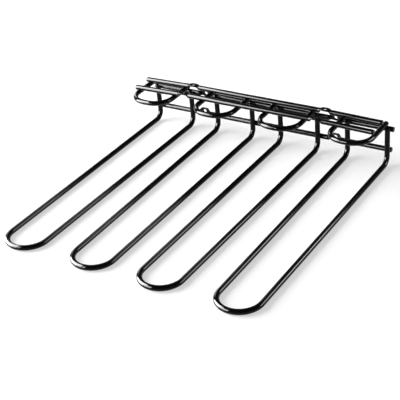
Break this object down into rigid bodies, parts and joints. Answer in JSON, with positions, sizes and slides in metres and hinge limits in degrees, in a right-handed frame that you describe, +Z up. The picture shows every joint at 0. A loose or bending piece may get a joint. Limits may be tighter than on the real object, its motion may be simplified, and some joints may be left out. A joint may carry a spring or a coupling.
{
  "type": "cup rack",
  "caption": "Black wire rack that screws under a shelf or to a wall and holds cups and stemmed glasses by their feet between long wire fingers.",
  "frame": {"origin": "on the surface that the fingers rest on, below the middle of the rack's bounding box", "axes": "+X to the right as one faces the fingers' tips, +Y back towards the wall, +Z up towards the shelf; the fingers point along -Y"},
  "size_m": [0.3451, 0.3533, 0.0624],
  "materials": {
    "finger_coating": "gloss black coating on bent steel wire",
    "loop_coating": "gloss black coating on bent steel wire",
    "rod_coating": "gloss black coating on steel wire with pressed screw tabs",
    "bar_coating": "gloss black coating on steel wire with pressed screw tabs"
  },
  "bodies": {
    "root": {"finger_1": "finger_coating", "finger_2": "finger_coating", "finger_3": "finger_coating", "finger_4": "finger_coating", "top_loop_1": "loop_coating", "top_loop_2": "loop_coating", "top_loop_3": "loop_coating", "top_loop_4": "loop_coating", "front_top_rod": "rod_coating", "rear_top_rod": "rod_coating", "upper_rear_bar": "bar_coating", "lower_rear_bar": "bar_coating"}
  },
  "joints": []
}
